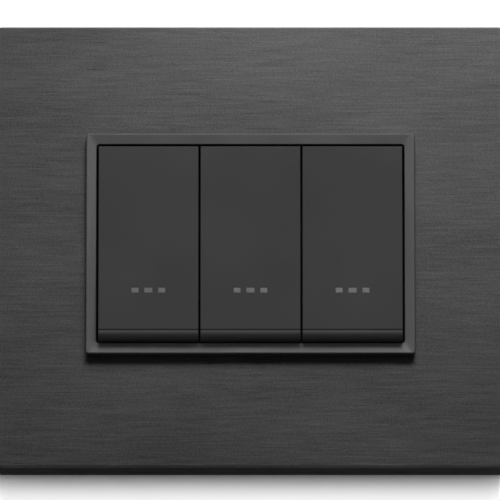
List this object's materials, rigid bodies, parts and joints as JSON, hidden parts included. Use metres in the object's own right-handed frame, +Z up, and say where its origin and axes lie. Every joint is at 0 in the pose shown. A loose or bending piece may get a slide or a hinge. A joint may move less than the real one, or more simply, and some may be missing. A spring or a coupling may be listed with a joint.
{
  "type": "wall plate cover",
  "caption": "Brushed metal wall plate cover with a raised bezel around rocker switches that have light windows, on a mounting frame with the switch mechanisms behind it.",
  "frame": {"origin": "middle of the plate on the wall's surface", "axes": "+Z up, +X to the right when facing the switches, -Y out of the wall towards the room, +Y into the wall box"},
  "size_m": [0.112, 0.0398, 0.1002],
  "materials": {
    "plate_metal": "dark anodised, fine horizontal brushing",
    "bezel_plastic": "satin dark grey",
    "key_plastic": "fine matte texture, charcoal",
    "window_plastic": "translucent grey",
    "carrier_plastic": "black moulding",
    "frame_plastic": "black moulding with matte grain",
    "cover_plastic": "black moulding",
    "box_plastic": "light grey moulding",
    "lever_plastic": "natural off-white moulding",
    "terminal_brass": "stamped and bent brass",
    "contact_copper": "copper alloy strip",
    "screw_zinc": "zinc plated",
    "spring_steel": "spring wire"
  },
  "bodies": {
    "wall_frame": {"mounting_frame": "frame_plastic", "box_screw_left": "screw_zinc", "box_screw_right": "screw_zinc", "mechanism_cover_1": "cover_plastic", "mechanism_box_1": "box_plastic", "common_terminal_1": "terminal_brass", "load_terminal_1": "terminal_brass", "common_screw_1": "screw_zinc", "load_screw_1": "screw_zinc", "mechanism_cover_2": "cover_plastic", "mechanism_box_2": "box_plastic", "common_terminal_2": "terminal_brass", "load_terminal_2": "terminal_brass", "common_screw_2": "screw_zinc", "load_screw_2": "screw_zinc", "mechanism_cover_3": "cover_plastic", "mechanism_box_3": "box_plastic", "common_terminal_3": "terminal_brass", "load_terminal_3": "terminal_brass", "common_screw_3": "screw_zinc", "load_screw_3": "screw_zinc"},
    "cover": {"face_plate": "plate_metal", "plate_carrier": "carrier_plastic", "trim_bezel": "bezel_plastic"},
    "rocker_1": {"rocker_key_1": "key_plastic", "light_window_1": "window_plastic", "rocker_lever_1": "lever_plastic", "plunger_spring_1": "spring_steel", "spring_plunger_1": "lever_plastic"},
    "blade_1": {"contact_blade_1": "contact_copper"},
    "rocker_2": {"rocker_key_2": "key_plastic", "light_window_2": "window_plastic", "rocker_lever_2": "lever_plastic", "plunger_spring_2": "spring_steel", "spring_plunger_2": "lever_plastic"},
    "blade_2": {"contact_blade_2": "contact_copper"},
    "rocker_3": {"rocker_key_3": "key_plastic", "light_window_3": "window_plastic", "rocker_lever_3": "lever_plastic", "plunger_spring_3": "spring_steel", "spring_plunger_3": "lever_plastic"},
    "blade_3": {"contact_blade_3": "contact_copper"}
  },
  "joints": [
    {"name": "cover_pull", "type": "slide", "parent": "wall_frame", "child": "cover", "axis": [0, -1, 0], "range_m": [0, 0.03]},
    {"name": "rocker_1_tilt", "type": "hinge", "parent": "wall_frame", "child": "rocker_1", "pos_m": [-0.0225, -0.009, 0], "axis": [1, 0, 0], "range_deg": [0, 8.8]},
    {"name": "blade_1_tilt", "type": "hinge", "parent": "wall_frame", "child": "blade_1", "pos_m": [-0.0225, 0.0092, 0], "axis": [1, 0, 0], "range_deg": [-16, 0]},
    {"name": "rocker_2_tilt", "type": "hinge", "parent": "wall_frame", "child": "rocker_2", "pos_m": [0, -0.009, 0], "axis": [1, 0, 0], "range_deg": [0, 8.8]},
    {"name": "blade_2_tilt", "type": "hinge", "parent": "wall_frame", "child": "blade_2", "pos_m": [0, 0.0092, 0], "axis": [1, 0, 0], "range_deg": [-16, 0]},
    {"name": "rocker_3_tilt", "type": "hinge", "parent": "wall_frame", "child": "rocker_3", "pos_m": [0.0225, -0.009, 0], "axis": [1, 0, 0], "range_deg": [0, 8.8]},
    {"name": "blade_3_tilt", "type": "hinge", "parent": "wall_frame", "child": "blade_3", "pos_m": [0.0225, 0.0092, 0], "axis": [1, 0, 0], "range_deg": [-16, 0]}
  ],
  "couplings": [
    {"joint": "blade_1_tilt", "follows": "rocker_1_tilt", "ratio": -1.8},
    {"joint": "blade_2_tilt", "follows": "rocker_2_tilt", "ratio": -1.8},
    {"joint": "blade_3_tilt", "follows": "rocker_3_tilt", "ratio": -1.8}
  ]
}
